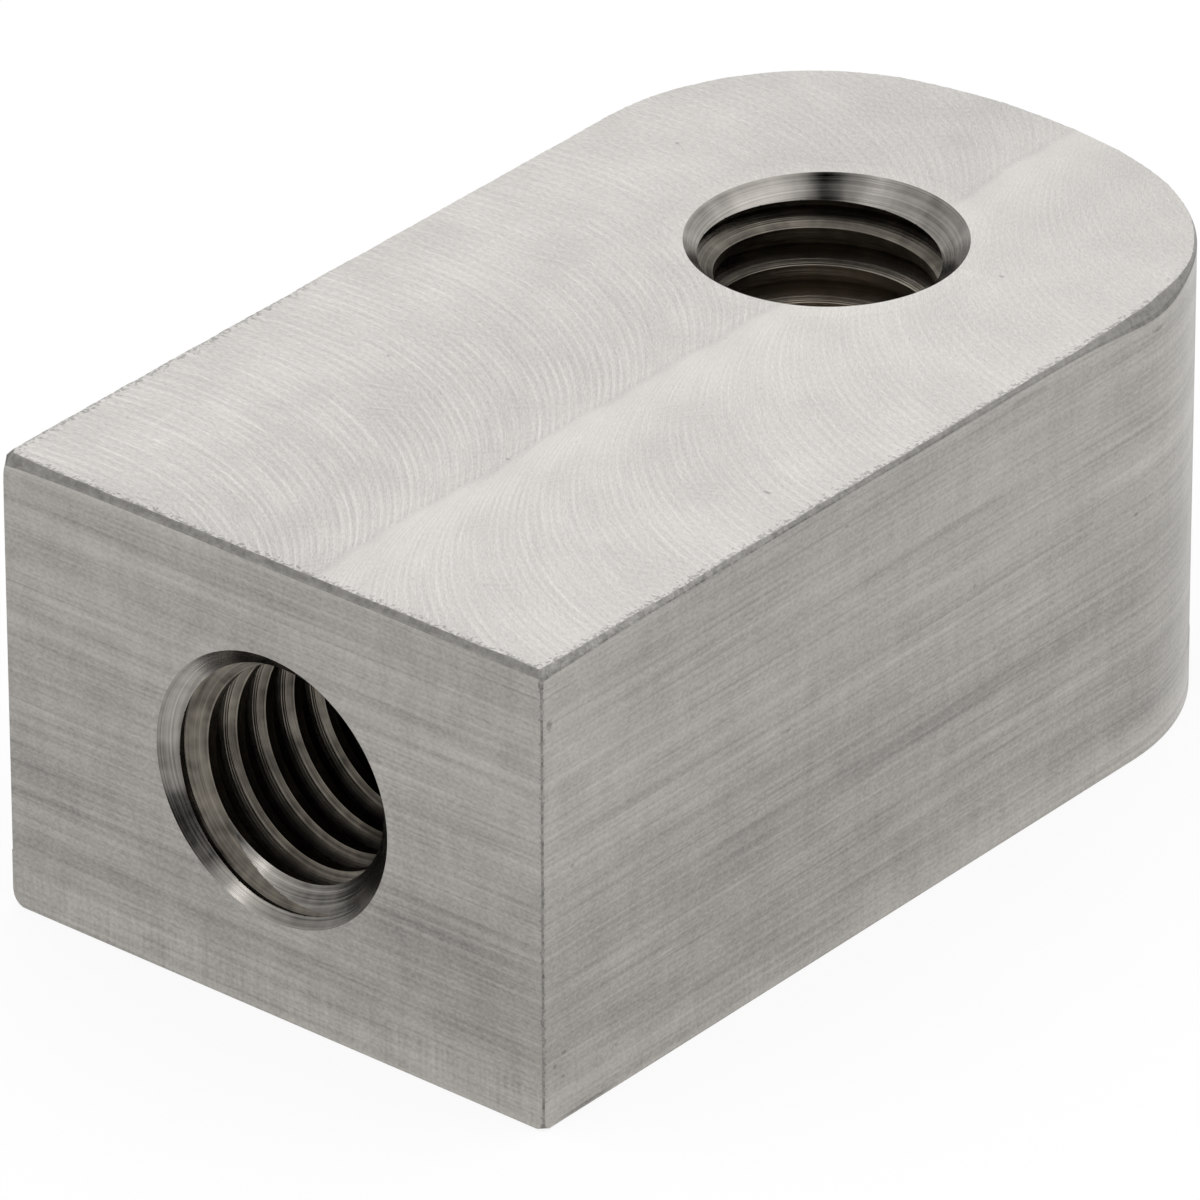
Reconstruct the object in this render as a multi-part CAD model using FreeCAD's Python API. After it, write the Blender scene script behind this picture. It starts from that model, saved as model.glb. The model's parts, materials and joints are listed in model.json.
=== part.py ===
"""Machined mounting block: a milled steel block with a rounded end and two tapped bores.

The block stands on its flat underside. X runs across its width, Y along its length from the
flat front face to the rounded end, and Z up. The origin is on the underside, at the middle of
the block's width and length. All sizes are in millimetres.
"""
import FreeCAD
import Part
import math
import os

# Outline of the block, seen from above
BLOCK_WIDTH = 20.0
BLOCK_HEIGHT = 14.85
FRONT_TO_UPRIGHT_BORE = 25.0
UPRIGHT_BORE_TO_END = 10.2
CORNER_RADIUS = 7.9
END_CROWN_RADIUS = 17.2

# Breaks on the sharp edges left by the cutter
TOP_EDGE_BREAK = 0.16
FOOT_EDGE_BREAK = 0.1

# M8 tapped bores: the wall is at the thread's minor diameter
THREAD_MAJOR_DIAMETER = 8.0
THREAD_MINOR_DIAMETER = 6.65
SINK_DIAMETER_UPRIGHT = 8.42
SINK_DIAMETER_FRONT = 8.6
SINK_ANGLE = 90.0
DRILL_POINT_ANGLE = 118.0
FRONT_BORE_HEIGHT = BLOCK_HEIGHT / 2
WEB_BEHIND_FRONT_BORE = 2.6

# Places that follow from the sizes above
BLOCK_LENGTH = FRONT_TO_UPRIGHT_BORE + UPRIGHT_BORE_TO_END
FRONT_Y = -BLOCK_LENGTH / 2
UPRIGHT_BORE_Y = FRONT_Y + FRONT_TO_UPRIGHT_BORE
END_Y = FRONT_Y + BLOCK_LENGTH
MINOR_RADIUS = THREAD_MINOR_DIAMETER / 2

UP = FreeCAD.Vector(0, 0, 1)
BACK = FreeCAD.Vector(0, 1, 0)


def arc(centre_x, centre_y, radius, start_angle, end_angle):
    """An arc in the plane of the underside, counter-clockwise between two angles in degrees."""
    circle = Part.Circle(FreeCAD.Vector(centre_x, centre_y, 0), UP, radius)
    return Part.Arc(circle, math.radians(start_angle), math.radians(end_angle)).toShape()


def line(start, end):
    return Part.makeLine(FreeCAD.Vector(*start, 0), FreeCAD.Vector(*end, 0))


def block_outline():
    """The closed outline: square front corners, two round rear corners and a crowned end.

    A corner arc touches the straight side and the crown arc without a kink, so the three
    centres fix the angle at which corner and crown meet.
    """
    half = BLOCK_WIDTH / 2
    corner = min(CORNER_RADIUS, half)
    corner_x = half - corner
    reach = END_CROWN_RADIUS - corner
    crown_y = END_Y - END_CROWN_RADIUS
    meet_angle = math.degrees(math.acos(corner_x / reach))
    corner_y = crown_y + math.sqrt(reach ** 2 - corner_x ** 2)
    edges = [
        line((-half, FRONT_Y), (half, FRONT_Y)),
        line((half, FRONT_Y), (half, corner_y)),
        arc(corner_x, corner_y, corner, 0, meet_angle),
        arc(0, crown_y, END_CROWN_RADIUS, meet_angle, 180 - meet_angle),
        arc(-corner_x, corner_y, corner, 180 - meet_angle, 180),
        line((-half, corner_y), (-half, FRONT_Y)),
    ]
    return Part.Wire(edges)


def block_blank():
    """The milled blank, with its top and foot edges broken."""
    blank = Part.Face(block_outline()).extrude(UP * BLOCK_HEIGHT)
    top_edges = [edge for edge in blank.Edges if edge.BoundBox.ZMin > BLOCK_HEIGHT - 0.001]
    blank = blank.makeChamfer(TOP_EDGE_BREAK, top_edges)
    foot_edges = [edge for edge in blank.Edges if edge.BoundBox.ZMax < 0.001]
    return blank.makeChamfer(FOOT_EDGE_BREAK, foot_edges)


def cone_height(radius, full_angle):
    """Height of a cone with this base radius and this angle across its point."""
    return radius / math.tan(math.radians(full_angle / 2))


def sink_cutter(mouth, inwards, diameter):
    """The countersink at a bore's mouth: a cone that would end in a point below the mouth."""
    radius = diameter / 2
    return Part.makeCone(radius, 0, cone_height(radius, SINK_ANGLE), mouth, inwards)


def upright_bore_cutter():
    """The bore that runs through from top to underside, countersunk at both mouths."""
    foot = FreeCAD.Vector(0, UPRIGHT_BORE_Y, 0)
    top = foot + UP * BLOCK_HEIGHT
    wall = Part.makeCylinder(MINOR_RADIUS, BLOCK_HEIGHT, foot, UP)
    upper_sink = sink_cutter(top, -UP, SINK_DIAMETER_UPRIGHT)
    lower_sink = sink_cutter(foot, UP, SINK_DIAMETER_UPRIGHT)
    return wall.fuse([upper_sink, lower_sink])


def front_bore_cutter():
    """The blind bore in the front face. Its drill point stops a web short of the other bore."""
    mouth = FreeCAD.Vector(0, FRONT_Y, FRONT_BORE_HEIGHT)
    point_height = cone_height(MINOR_RADIUS, DRILL_POINT_ANGLE)
    point_depth = FRONT_TO_UPRIGHT_BORE - THREAD_MAJOR_DIAMETER / 2 - WEB_BEHIND_FRONT_BORE
    wall_depth = point_depth - point_height
    wall = Part.makeCylinder(MINOR_RADIUS, wall_depth, mouth, BACK)
    drill_point = Part.makeCone(MINOR_RADIUS, 0, point_height, mouth + BACK * wall_depth, BACK)
    sink = sink_cutter(mouth, BACK, SINK_DIAMETER_FRONT)
    return wall.fuse([drill_point, sink])


def mounting_block():
    drilled = block_blank().cut([upright_bore_cutter(), front_bore_cutter()])
    return drilled.Solids[0]


os.makedirs("parts", exist_ok=True)
shape = mounting_block()
print("mounting_block", shape.ShapeType, "solids", len(shape.Solids), "valid", shape.isValid())
print("volume mm3", round(shape.Volume, 1), "box", shape.BoundBox)
shape.exportStep("parts/mounting_block.step")
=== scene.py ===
# %% [markdown]
# # A machined mounting block
#
# The real object is one piece of stainless bar: sawn, milled on every side, drilled, countersunk
# and tapped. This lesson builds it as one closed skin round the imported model, and gives each
# machining step its own finish. All sizes below are in millimetres until the mesh is made.

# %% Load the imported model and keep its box
import json
import math
import bmesh
import bpy
import numpy as np
from mathutils import Matrix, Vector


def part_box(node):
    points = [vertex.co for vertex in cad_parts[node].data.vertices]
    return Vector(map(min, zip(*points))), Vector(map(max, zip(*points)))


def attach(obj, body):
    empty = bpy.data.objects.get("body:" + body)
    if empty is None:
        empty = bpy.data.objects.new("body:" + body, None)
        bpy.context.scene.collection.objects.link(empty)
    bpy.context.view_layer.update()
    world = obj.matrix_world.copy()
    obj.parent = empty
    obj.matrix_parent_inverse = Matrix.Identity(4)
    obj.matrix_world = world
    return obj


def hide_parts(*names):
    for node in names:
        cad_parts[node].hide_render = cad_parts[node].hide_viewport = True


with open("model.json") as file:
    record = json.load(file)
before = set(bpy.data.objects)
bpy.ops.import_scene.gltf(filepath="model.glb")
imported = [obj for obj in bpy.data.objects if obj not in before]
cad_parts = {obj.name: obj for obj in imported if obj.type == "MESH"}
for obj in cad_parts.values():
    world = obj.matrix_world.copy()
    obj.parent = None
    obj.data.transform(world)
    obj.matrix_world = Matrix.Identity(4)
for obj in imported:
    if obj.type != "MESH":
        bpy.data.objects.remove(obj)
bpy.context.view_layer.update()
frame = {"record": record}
MM = 0.001
low, high = (np.array(corner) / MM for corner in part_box("mounting_block"))
mounts = {mount["name"]: mount for mount in frame["record"]["mounts"]}
HALF_WIDTH = high[0]
FRONT_Y = low[1]
END_Y = high[1]
HEIGHT = high[2]
print("block", 2 * HALF_WIDTH, "wide,", END_Y - FRONT_Y, "long,", HEIGHT, "high, in mm")

# %% [markdown]
# ## The outline
#
# Seen from above, the block has two straight sides, two round rear corners and a slightly crowned
# end. The direction in which the surface faces turns evenly along each arc, so one call of
# `np.interp` gives that direction, and the point follows from it. A list of points would do too,
# but a formula keeps every arc true at any spacing.

# %% Outline of the sides and the round end
CORNER_RADIUS = 7.9
CROWN_RADIUS = 17.2
reach = CROWN_RADIUS - CORNER_RADIUS
corner_x = HALF_WIDTH - CORNER_RADIUS
crown_y = END_Y - CROWN_RADIUS
corner_y = crown_y + math.sqrt(reach ** 2 - corner_x ** 2)
meet_angle = math.acos(corner_x / reach)
straight = corner_y - FRONT_Y
corner_arc = CORNER_RADIUS * meet_angle
crown_arc = CROWN_RADIUS * (math.pi - 2 * meet_angle)
stations = np.cumsum([0, straight, corner_arc, crown_arc, corner_arc, straight])
facings = np.array([0, 0, meet_angle, math.pi - meet_angle, math.pi, math.pi])
WRAP_LENGTH = stations[-1]


def outline(along):
    """Points and outward directions, as two (n, 2) arrays, at distances along the outline.

    The way runs up the right side, round the end and down the left side. The facing angle grows
    in proportion to the distance on each arc; a point is its arc's centre plus radius times the
    facing direction, moved back by what is left of the straight side.
    """
    facing = np.interp(along, stations, facings)
    outward = np.stack([np.cos(facing), np.sin(facing)], -1)
    on_crown = (facing > meet_angle) & (facing < math.pi - meet_angle)
    radius = np.where(on_crown, CROWN_RADIUS, CORNER_RADIUS)
    centre_x = np.where(on_crown, 0, np.sign(outward[:, 0]) * corner_x)
    centre_y = np.where(on_crown, crown_y, corner_y)
    back = np.maximum(stations[1] - along, 0) + np.maximum(along - stations[4], 0)
    point = np.stack([centre_x, centre_y - back], -1) + radius[:, None] * outward
    return point, outward


print("way round the sides and the end:", round(WRAP_LENGTH, 2), "mm")

# %% [markdown]
# ## The patches
#
# The skin is a set of patches: grids for the walls, chamfers and bores, and rings that join a
# round hole to the border of a flat face. Each patch stores its points, its faces, its finish
# and two pattern coordinates. Neighbours share the same border points, so that one merge at the
# end closes all seams.

# %% A store for patches, a grid and a ring
FINISHES = ["face_milled", "side_milled", "broken_edge", "countersunk", "tapped"]
skin = {"points": [], "corners": [], "sizes": [], "finish": [], "pattern": [], "count": 0}


def add_patch(points, corners, finish, pattern):
    """Adds faces of equal corner count. `finish` is a name or one index for each face."""
    if isinstance(finish, str):
        finish = np.full(len(corners), FINISHES.index(finish))
    skin["points"].append(points.reshape(-1, 3))
    skin["corners"].append((corners + skin["count"]).ravel())
    skin["sizes"].append(np.full(len(corners), corners.shape[1]))
    skin["finish"].append(finish)
    skin["pattern"].append(pattern.reshape(-1, 2)[corners.ravel()])
    skin["count"] += points.size // 3


def grid_faces(rows, columns):
    """Corner numbers of the quads between neighbouring rows and columns of a grid."""
    number = np.arange(rows * columns).reshape(rows, columns)
    quads = np.stack([number[:-1, :-1], number[:-1, 1:], number[1:, 1:], number[1:, :-1]], -1)
    return quads.reshape(-1, 4)


def add_grid(points, finish, pattern):
    """A surface given as a (rows, columns, 3) array of points."""
    add_patch(points, grid_faces(*points.shape[:2]), finish, pattern)


def add_ring(outer, inner, centre, axes, finish, pattern_of):
    """Joins two closed loops in one plane with triangles.

    Both loops are sorted together by angle round the centre. Each step to the next point, on
    either loop, makes one triangle with the latest point of the other loop.
    """
    loops = [outer, inner]
    angles = []
    for i, loop in enumerate(loops):
        across = (loop - centre) @ axes.T
        angle = np.arctan2(across[:, 1], across[:, 0]) % (2 * math.pi)
        order = np.argsort(angle, kind="stable")
        loops[i] = loop[order]
        angles.append(angle[order])
    is_outer = np.concatenate([np.ones(len(loops[0]), bool), np.zeros(len(loops[1]), bool)])
    is_outer = is_outer[np.argsort(np.concatenate(angles), kind="stable")]
    outer_now = np.cumsum(is_outer) - 1
    inner_now = np.cumsum(~is_outer) - 1
    before = np.where(is_outer, outer_now - 1, inner_now - 1)
    outer_count, inner_count = len(loops[0]), len(loops[1])
    previous = np.where(is_outer, before % outer_count, before % inner_count + outer_count)
    triangles = np.stack([outer_now % outer_count, inner_now % inner_count + outer_count,
                          previous], -1)
    points = np.concatenate(loops)
    add_patch(points, triangles, finish, pattern_of(points))


# %% [markdown]
# ## Uneven edges
#
# The cutter left a small chamfer round the top that is wider at the near corner and on the near
# rear corner. A bevel would give it the same width everywhere, so its width is a function of the
# place along the edge: a constant, and a term for each wide place that fades to both sides.

# %% Widths of the chamfers
BREAK_WIDTH = 0.12
NEAR_WIDENING = 0.13
NEAR_REACH = 2.2
REAR_WIDENING = 0.21
REAR_SHIFT = 1.2
REAR_REACH_BEFORE = 2.8
REAR_REACH_AFTER = 1.7
FRONT_WIDENING = 0.045
LEFT_WIDENING = 0.12
LEFT_REACH = 1.6


def bump_of(distance, width):
    """A bell curve, 1 at distance 0 and about a third at one width."""
    return np.exp(-(distance / width) ** 2)


def side_break(along):
    """Chamfer width down the sides and round the end, wider at two places near the camera."""
    near = NEAR_WIDENING * np.exp(-along / NEAR_REACH)
    off = along - straight - REAR_SHIFT
    rear = REAR_WIDENING * bump_of(off, np.where(off < 0, REAR_REACH_BEFORE, REAR_REACH_AFTER))
    return BREAK_WIDTH + near + rear


def front_break(x):
    """Chamfer width along the front edge, wider towards the left end."""
    left = LEFT_WIDENING * np.exp(-(x + HALF_WIDTH) / LEFT_REACH)
    return BREAK_WIDTH + FRONT_WIDENING + left


print("chamfer at the near corner and where the rear corner starts, in mm:",
      [round(float(side_break(along)), 2) for along in (0, straight + REAR_SHIFT)])

# %% [markdown]
# The chamfer's border is ragged with fine burr. A random curve, the same on every run, moves it
# by a hundredth of a millimetre or two.

# %% A ragged curve
POST_SPACING = 9
random_numbers = np.random.default_rng(5)


def wander(count, amount):
    """A random curve with `count` values: fine burr on slow waves between evenly set posts."""
    posts = np.arange(0, count + POST_SPACING, POST_SPACING)
    waves = np.interp(np.arange(count), posts, random_numbers.normal(0, amount, len(posts)))
    return waves + random_numbers.normal(0, amount / 2, count)


# %% [markdown]
# ## Walls
#
# One column of points climbs each wall: foot chamfer, low band, the fine step where two cuts
# met, the wall, and the top chamfer. The wall above the step is a hundredth of a millimetre or so
# shy of the band below it. Columns run round the whole block, so the pattern coordinates can be
# the distance round it and the height, and the milling lines wrap round the end as they do on
# the real part.

# %% Columns of the side walls and of the front wall
SPACING = 0.1
END_GAP = 0.55
CORNER_BREAK = 0.05
UPPER_SHARE = 0.8
LOWER_SHARE = 1.3
UPPER_BURR = 0.014
LOWER_BURR = 0.006
first = CORNER_BREAK + END_GAP
wrap_count = int((WRAP_LENGTH - 2 * first) / SPACING)
wrap_along = np.concatenate([[CORNER_BREAK], np.linspace(first, WRAP_LENGTH - first, wrap_count),
                             [WRAP_LENGTH - CORNER_BREAK]])
front_count = int((2 * HALF_WIDTH - 2 * first) / SPACING)
front_x = np.concatenate([[CORNER_BREAK - HALF_WIDTH],
                          np.linspace(first - HALF_WIDTH, HALF_WIDTH - first, front_count),
                          [HALF_WIDTH - CORNER_BREAK]])
wrap_upper = UPPER_SHARE * side_break(wrap_along) + wander(len(wrap_along), UPPER_BURR)
wrap_lower = LOWER_SHARE * side_break(wrap_along) + wander(len(wrap_along), LOWER_BURR)
front_upper = UPPER_SHARE * front_break(front_x) + wander(len(front_x), UPPER_BURR)
front_lower = LOWER_SHARE * front_break(front_x) + wander(len(front_x), LOWER_BURR)
print("columns:", len(wrap_along), "round the sides,", len(front_x), "across the front")

# %% [markdown]
# The upright corners have a fine break, which grows towards the top and the foot until it is a
# round. The end columns of the two walls keep that far off each other's wall.

# %% Heights, insets and roundings
FOOT_BREAK = 0.02
STEP_HEIGHT = 1.8
WALL_SHY = 0.012
LOW_ROWS = (0.0, FOOT_BREAK, 0.06, 0.12, 0.2, 0.32, 0.5, 1.0, STEP_HEIGHT - 0.02)
WALL_CLIMB = (0.0, 0.25, 0.5, 0.75, 0.9, 0.96, 0.985, 1.0)
ROUNDING_REACH = 0.3


def column_heights(lower):
    """Heights of the wall's rows, for the chamfer height of each column."""
    flat = np.ones_like(lower)
    low_band = np.array(LOW_ROWS)[:, None] * flat
    wall = STEP_HEIGHT + np.array(WALL_CLIMB)[:, None] * (HEIGHT - lower - STEP_HEIGHT)
    return np.concatenate([low_band, wall, [HEIGHT * flat]])


def column_insets(upper):
    """How far each row lies inside the full outline."""
    insets = np.zeros((len(LOW_ROWS) + len(WALL_CLIMB) + 1, len(upper)))
    insets[0] = FOOT_BREAK
    insets[len(LOW_ROWS):] = WALL_SHY
    insets[-1] += upper
    return insets


def corner_limits(heights, insets, edge_break, rounding, foot_radius):
    """How far the end columns keep off the neighbouring wall: its inset plus the corner break.

    The break grows towards the top, and towards the foot, where it follows a quarter circle.
    """
    below_arc = np.maximum(foot_radius - heights, 0)
    foot_arc = foot_radius - np.sqrt(foot_radius ** 2 - below_arc ** 2)
    limits = CORNER_BREAK + insets + foot_arc
    limits += rounding * bump_of(HEIGHT - edge_break - heights, ROUNDING_REACH)
    limits[-1] = WALL_SHY + edge_break + rounding
    return limits[:, None]


# %% Points of both walls
NEAR_CORNER = {"rounding": 0.04, "foot_radius": 0.3}
FAR_CORNER = {"rounding": 0.18, "foot_radius": 0.5}
wrap_z = column_heights(wrap_lower)
wrap_inset = column_insets(wrap_upper)
point, outward = outline(wrap_along)
wrap = np.stack([
    point[:, 0] - outward[:, 0] * wrap_inset,
    point[:, 1] - outward[:, 1] * wrap_inset,
    wrap_z,
], -1)
limit_near = corner_limits(wrap_z[:, 0], wrap_inset[:, 0], front_upper[-1], **NEAR_CORNER)
limit_far = corner_limits(wrap_z[:, -1], wrap_inset[:, -1], front_upper[0], **FAR_CORNER)
limit = np.where(wrap[..., 0] > 0, limit_near, limit_far)
wrap[..., 1] = np.maximum(wrap[..., 1], FRONT_Y + limit)

front_z = column_heights(front_lower)
front_inset = column_insets(front_upper)
front = np.stack([np.tile(front_x, (len(front_z), 1)), FRONT_Y + front_inset, front_z], -1)
limit_far = corner_limits(front_z[:, 0], front_inset[:, 0], wrap_upper[-1], **FAR_CORNER)
limit_near = corner_limits(front_z[:, -1], front_inset[:, -1], wrap_upper[0], **NEAR_CORNER)
front[..., 0] = np.clip(front[..., 0], limit_far - HALF_WIDTH, HALF_WIDTH - limit_near)
print("points on the walls:", wrap.shape[0] * (wrap.shape[1] + front.shape[1]))

# %% [markdown]
# The corner breaks are strips between the end columns of the two walls. The front wall holds a
# bore, so only its low band and its chamfers are grids: the rest is joined to the bore's mouth
# further down.

# %% Wall grids and corner strips
wrap_pattern = np.stack([np.tile(wrap_along, (len(wrap_z), 1)), wrap_z], -1)
front_pattern = np.stack([np.tile(front_x - HALF_WIDTH, (len(front_z), 1)), front_z], -1)
first_wall_row = len(LOW_ROWS)
wrap_pattern[-2, :, 1] = front_pattern[-2, :, 1] = HEIGHT - BREAK_WIDTH
for wall, pattern, spans in (
        (wrap, wrap_pattern, ((0, 2), (1, -1), (-2, None))),
        (front, front_pattern, ((0, 2), (1, first_wall_row + 1), (-2, None)))):
    for span, finish in zip(spans, ("broken_edge", "side_milled", "broken_edge")):
        add_grid(wall[slice(*span)], finish, pattern[slice(*span)])
for wrap_end, front_end in ((0, -1), (-1, 0)):
    strip = np.stack([front[:, front_end], wrap[:, wrap_end]], 1)
    strip_pattern = np.stack([front_pattern[:, front_end], wrap_pattern[:, wrap_end]], 1)
    add_grid(strip, "broken_edge", strip_pattern)
print("patches so far:", len(skin["points"]))

# %% [markdown]
# ## Bores
#
# A tapped, countersunk bore can be written as one radius over angle and depth: the larger of the
# countersink's cone and the thread. The thread's phase grows by one for each pitch of depth and
# each turn, which makes the helix. Where the two surfaces cross, the real part has a thin crescent
# edge, so the grid row nearest to the crossing is moved onto it.

# %% The thread and the countersink as one formula
PITCH = 1.25
MINOR = mounts["upright_bore"]["dims"]["r_mm"]
MAJOR = 4.0
ANGLES = 288
FINE_ROWS = 48
crest_half = PITCH / 8
root_half = PITCH / 16
knots = np.array([crest_half, PITCH / 2 - root_half, PITCH / 2 + root_half,
                  PITCH - crest_half]) / PITCH
knot_radii = np.array([MINOR, MAJOR, MAJOR, MINOR])
angle = np.linspace(0, 2 * math.pi, ANGLES + 1)


def thread_radius(phase):
    """A 60 degree thread: flat crest at phase 0, straight flanks, and a flat root at a half."""
    return np.interp(phase % 1, knots, knot_radii)


def bore_surface(depth, bore):
    """Radius of thread and of countersink over a (rows, columns) array of depths."""
    phase = (depth - bore["crest_depth"]) / PITCH + angle / (2 * math.pi)
    fade = np.clip((bore["thread_end"] - depth) / PITCH, 0, 1)
    thread = MINOR + (thread_radius(phase) - MINOR) * fade
    sink = bore["mouth"] - depth
    if bore["through"]:
        sink = np.maximum(sink, bore["mouth"] - (bore["length"] - depth))
    return thread, sink, phase


def snap_to_crossing(depth, bore):
    """Moves the row next to each crossing of thread and cone onto the crossing itself."""
    thread, sink, _ = bore_surface(depth, bore)
    gap = thread - sink
    crosses = gap[:-1] * gap[1:] < 0
    share = np.divide(gap[:-1], gap[:-1] - gap[1:], out=np.zeros_like(gap[:-1]), where=crosses)
    crossing = depth[:-1] + share * np.diff(depth, axis=0)
    snapped = depth.copy()
    inner = slice(1, -1)
    to_upper = crosses & (share < 0.5)
    to_lower = crosses & (share >= 0.5)
    snapped[inner] = np.where(to_upper[1:], crossing[1:], snapped[inner])
    snapped[inner] = np.where(to_lower[:-1], crossing[:-1], snapped[inner])
    return snapped


def helix_rows(phases, start, end, bore):
    """Rows that keep their phase in the thread, clipped to the span between two depths."""
    first_turn = math.floor((start - bore["crest_depth"]) / PITCH) - 1
    last_turn = math.ceil((end - bore["crest_depth"]) / PITCH) + 1
    turns = np.arange(first_turn, last_turn + 1)[:, None] + phases
    rows = bore["crest_depth"] + PITCH * (turns.reshape(-1, 1) - angle / (2 * math.pi))
    rows = np.clip(rows, start, end)
    used = (rows.max(1) > start) & (rows.min(1) < end)
    edge = np.ones((1, len(angle)))
    return np.concatenate([start * edge, rows[used], end * edge])


def on_grid(depth, bore, rounding):
    """The next depth at which the thread's edges pass exactly through grid points."""
    steps = (depth - bore["crest_depth"]) / PITCH * ANGLES
    return bore["crest_depth"] + PITCH * rounding(steps) / ANGLES


print("thread:", PITCH, "mm pitch,", round(MAJOR - MINOR, 3), "mm deep")

# %% [markdown]
# Both bores use the same formula. The upright one runs through and is countersunk at both ends.
# The front one is blind: its thread fades out before the plain wall and the drill's cone. `mouth`
# is the countersink's radius in the face, and `crest_depth` is the depth of a crest at angle 0.

# %% Build both bores
UPRIGHT_MOUTH = 4.21
UPRIGHT_CREST = 0.755
FRONT_MOUTH = 4.3
FRONT_CREST = 0.645
up = mounts["upright_bore"]
ahead = mounts["front_bore"]
front_plane = FRONT_Y + WALL_SHY
wall_end = (ahead["pos_m"][1] / MM + ahead["dims"]["length_mm"] / 2) - front_plane
bores = {
    "upright": {
        "centre": np.array([0, up["pos_m"][1] / MM, HEIGHT]),
        "inwards": np.array([0, 0, -1.0]),
        "axes": np.array([[1.0, 0, 0], [0, 1.0, 0]]),
        "mouth": UPRIGHT_MOUTH, "crest_depth": UPRIGHT_CREST,
        "through": True, "length": HEIGHT, "thread_end": HEIGHT + 2 * PITCH,
    },
    "front": {
        "centre": np.array([0, front_plane, ahead["pos_m"][2] / MM]),
        "inwards": np.array([0, 1.0, 0]),
        "axes": np.array([[1.0, 0, 0], [0, 0, 1.0]]),
        "mouth": FRONT_MOUTH, "crest_depth": FRONT_CREST,
        "through": False, "length": wall_end, "thread_end": wall_end - PITCH,
    },
}


def place(bore, radius, depth):
    """Points at a radius and depth, for every angle round the bore's axis."""
    round_axis = np.cos(angle)[:, None] * bore["axes"][0] + np.sin(angle)[:, None] * bore["axes"][1]
    return bore["centre"] + radius[..., None] * round_axis + depth[..., None] * bore["inwards"]


for name, bore in bores.items():
    fine = np.arange(FINE_ROWS) / FINE_ROWS
    sink_depth = bore["mouth"] - MINOR
    start, end = on_grid(sink_depth, bore, math.ceil), bore["length"]
    if bore["through"]:
        end = on_grid(bore["length"] - sink_depth, bore, math.floor)
    parts = [snap_to_crossing(helix_rows(fine, 0, start, bore), bore),
             helix_rows(knots, start, end, bore)]
    if bore["through"]:
        parts.append(snap_to_crossing(helix_rows(fine, end, bore["length"], bore), bore))
    depth = np.concatenate(parts)
    thread, sink, phase = bore_surface(depth, bore)
    turn = np.tile(angle / (2 * math.pi), (len(depth), 1))
    pattern = np.stack([turn, phase], -1)
    quads = grid_faces(*depth.shape)
    on_cone = (sink - thread).ravel()[quads].mean(1) > 0
    finish = np.where(on_cone, FINISHES.index("countersunk"), FINISHES.index("tapped"))
    add_patch(place(bore, np.maximum(thread, sink), depth), quads, finish, pattern)
    print(name, "bore:", depth.shape[0], "rows of", ANGLES, "points")

# %% [markdown]
# The drill left a cone at the bottom of the front bore. It is a grid whose last ring has shrunk
# to a point, and its first ring is the bore wall's last one.

# %% The drill's cone
DRILL_ANGLE = 118
bore = bores["front"]
drill_radius = np.array([MINOR, MINOR / 2, 0])[:, None] * np.ones(len(angle))
drill_depth = bore["length"] + (MINOR - drill_radius) / math.tan(math.radians(DRILL_ANGLE / 2))
add_grid(place(bore, drill_radius, drill_depth), "tapped",
         np.stack([np.tile(angle / (2 * math.pi), (3, 1)), drill_depth / PITCH], -1))
print("the drill's point is", round(drill_depth.max(), 2), "mm deep")

# %% [markdown]
# ## Flat faces
#
# Each flat face is a narrow rim along its border, a ring that joins the rim to a circle, and a
# halo between that circle and the bore's mouth. On the top and the underside the second pattern
# coordinate is the distance from the border, which places the burr later.

# %% Rims, rings and halos
RIM = 0.6
HALO = 0.7
circle = np.stack([np.cos(angle), np.sin(angle)], -1)


def add_face(border, inner, bore, centre, finish, rim_pattern, pattern_of):
    """A flat face round one bore: rim grid, joining ring and halo grid."""
    closed = np.stack([np.concatenate([loop, loop[:1]]) for loop in (border, inner)])
    add_grid(closed, finish, rim_pattern(closed))
    radii = np.array([bore["mouth"], bore["mouth"] + HALO])[:, None, None]
    halo = centre + radii * (circle @ bore["axes"])
    add_grid(halo, finish, pattern_of(halo))
    add_ring(inner, halo[1, :-1], centre, bore["axes"], finish, pattern_of)


def from_border(rim):
    """Pattern of a rim: distance 0 on the border and RIM on the inner loop."""
    pattern = np.zeros(rim.shape[:-1] + (2,))
    pattern[1, :, 1] = RIM
    return pattern


def past_rim(points):
    """Pattern of a face inside its rim."""
    return np.zeros(points.shape[:-1] + (2,)) + (0, RIM)


def on_front(points):
    """Pattern of the front wall: distance from the near corner, and height."""
    return np.stack([points[..., 0] - HALF_WIDTH, points[..., 2]], -1)


point, outward = outline(wrap_along)
for row, level in ((-1, HEIGHT), (0, 0.0)):
    border = np.concatenate([wrap[row], front[row]])
    inner = border.copy()
    inner[:len(point), :2] = point - RIM * outward
    inner[:, 0] = np.clip(inner[:, 0], RIM - HALF_WIDTH, HALF_WIDTH - RIM)
    inner[:, 1] = np.maximum(inner[:, 1], FRONT_Y + RIM)
    centre = np.array([0, bores["upright"]["centre"][1], level])
    add_face(border, inner, bores["upright"], centre, "face_milled", from_border, past_rim)

wall = front[first_wall_row:-1]
border = np.concatenate([wall[0, :-1], wall[:-1, -1], wall[-1, :0:-1], wall[:0:-1, 0]])
inner = border.copy()
inner[:, 0] = np.clip(inner[:, 0], RIM - HALF_WIDTH, HALF_WIDTH - RIM)
inner[:, 2] = np.clip(inner[:, 2], STEP_HEIGHT + RIM, HEIGHT - RIM)
add_face(border, inner, bores["front"], bores["front"]["centre"], "side_milled",
         on_front, on_front)
print("patches in all:", len(skin["points"]))

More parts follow.
